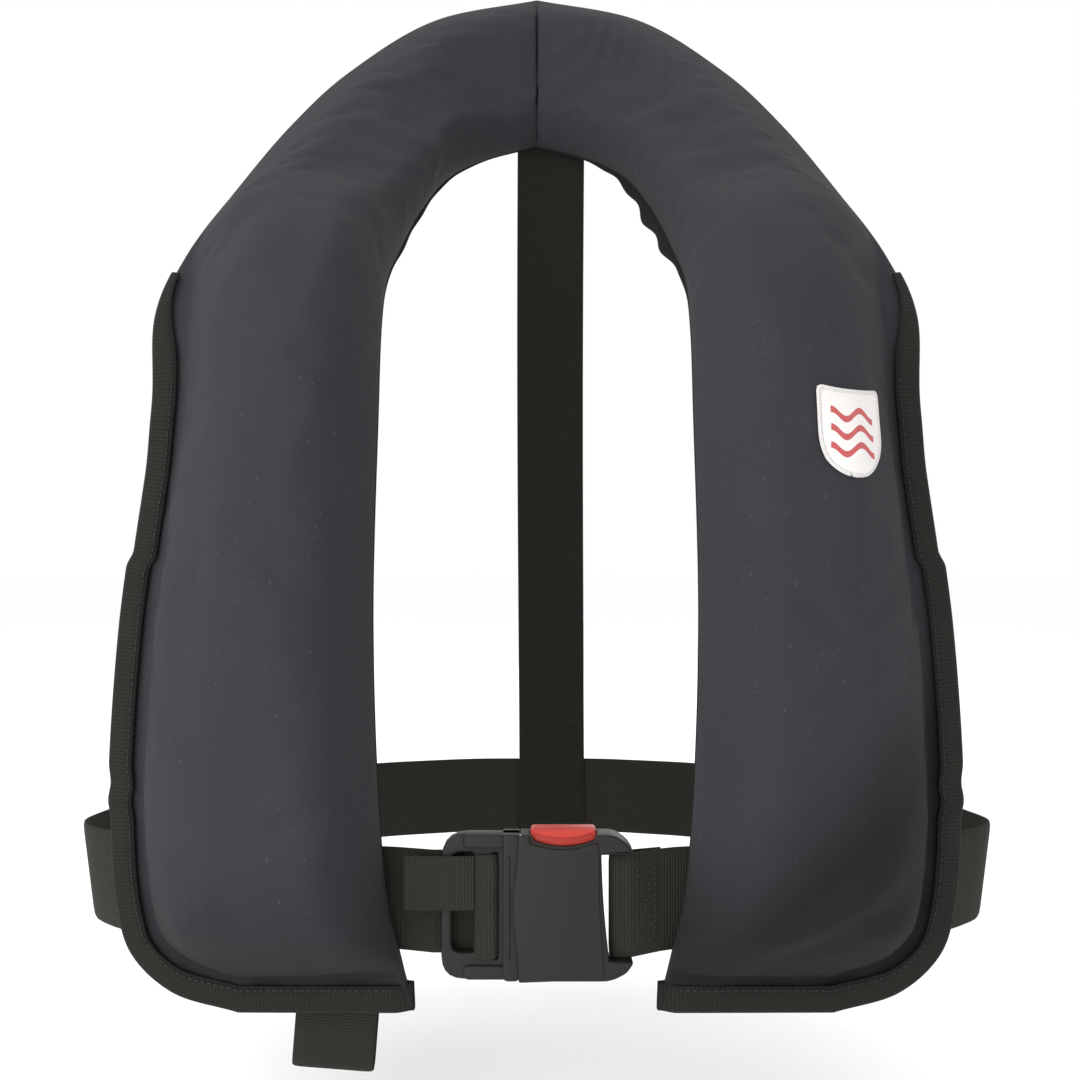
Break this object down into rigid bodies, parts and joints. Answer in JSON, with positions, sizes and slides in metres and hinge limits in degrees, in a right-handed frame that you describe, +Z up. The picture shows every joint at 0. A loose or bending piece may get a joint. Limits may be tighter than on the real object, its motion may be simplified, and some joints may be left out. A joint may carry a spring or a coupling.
{
  "type": "inflatable life jacket",
  "caption": "U-shaped inflatable life jacket cover with a bladder and inflator inside, a waist belt with a red-button buckle, a back strap and a crotch-strap loop.",
  "frame": {"origin": "middle of the collar's inner edge, at the nape of the neck", "axes": "+Z up, front faces -Y, +X to the right as seen from the front (the wearer's left)"},
  "size_m": [0.49, 0.3037, 0.6374],
  "materials": {
    "cover_fabric": "matt woven polyester",
    "binding_tape": "ribbed grosgrain tape",
    "fastening_tape": "hook and loop tape",
    "belt_webbing": "ribbed polyester webbing",
    "back_strap_webbing": "flat close-woven webbing",
    "badge_white": "woven patch",
    "bladder_fabric": "coated nylon",
    "reflective_film": "retro-reflective film",
    "buckle_plastic": "moulded acetal, fine grain",
    "red_plastic": "moulded",
    "inflator_plastic": "moulded",
    "cartridge_white": "moulded",
    "black_rubber": "moulded",
    "bright_steel": "satin"
  },
  "bodies": {
    "jacket": {"back_strap": "back_strap_webbing", "badge_patch": "badge_white", "belt_adjust_end": "belt_webbing", "belt_guide_left": "belt_webbing", "belt_guide_right": "belt_webbing", "belt_tail": "belt_webbing", "bladder": "bladder_fabric", "buckle_female_back": "buckle_plastic", "buckle_female_front": "buckle_plastic", "button_spring": "bright_steel", "cap_nut": "bright_steel", "cartridge_cap": "inflator_plastic", "co2_cylinder": "bright_steel", "cover_back_left": "cover_fabric", "cover_back_right": "cover_fabric", "cover_front_left": "cover_fabric", "cover_front_right": "cover_fabric", "crotch_strap_loop": "belt_webbing", "edge_binding_left": "binding_tape", "edge_binding_right": "binding_tape", "hook_strip_left": "fastening_tape", "hook_strip_right": "fastening_tape", "inflator_body": "inflator_plastic", "lever_pin": "bright_steel", "lifting_becket": "belt_webbing", "loop_strip_left": "fastening_tape", "loop_strip_right": "fastening_tape", "manifold_stem": "bright_steel", "mouthpiece": "inflator_plastic", "oral_flange": "black_rubber", "oral_tube": "black_rubber", "pin_spring": "bright_steel", "poppet_spring": "bright_steel", "reflective_patch_left": "reflective_film", "reflective_patch_right": "reflective_film", "stem_gasket_front": "black_rubber", "stem_gasket_rear": "black_rubber", "waist_belt": "belt_webbing", "water_cartridge": "cartridge_white", "whistle": "red_plastic", "whistle_pocket": "belt_webbing"},
    "male_half": {"buckle_male": "buckle_plastic"},
    "release_button": {"buckle_button": "red_plastic", "button_catch": "red_plastic"},
    "pull_lever": {"inflator_lever": "red_plastic"},
    "piercing_pin": {"firing_pin": "bright_steel"},
    "tube_cap": {"mouthpiece_cap": "black_rubber"},
    "poppet": {"valve_poppet": "red_plastic"}
  },
  "joints": [
    {"name": "buckle_release", "type": "slide", "parent": "jacket", "child": "male_half", "axis": [-1, 0, 0], "range_m": [0, 0.0195], "deforming": ["belt_adjust_end", "belt_tail"]},
    {"name": "button_press", "type": "slide", "parent": "jacket", "child": "release_button", "axis": [0, 0, -1], "range_m": [0, 0.003], "stiffness_N_per_m": 800, "deforming": ["button_spring"]},
    {"name": "lever_pull", "type": "hinge", "parent": "jacket", "child": "pull_lever", "pos_m": [0.13117, -0.24605, -0.3904], "axis": [0.2159, -0.9764, 0], "range_deg": [0, 90]},
    {"name": "pin_fire", "type": "slide", "parent": "jacket", "child": "piercing_pin", "axis": [0, 0, 1], "range_m": [0, 0.0051], "deforming": ["pin_spring"]},
    {"name": "cap_pull", "type": "slide", "parent": "jacket", "child": "tube_cap", "axis": [0, 0, 1], "range_m": [0, 0.016]},
    {"name": "poppet_press", "type": "slide", "parent": "jacket", "child": "poppet", "axis": [0, 0, -1], "range_m": [0, 0.003], "stiffness_N_per_m": 300, "deforming": ["poppet_spring"]}
  ],
  "couplings": [
    {"joint": "pin_fire", "follows": "lever_pull", "m_per_rad": 0.003183}
  ]
}
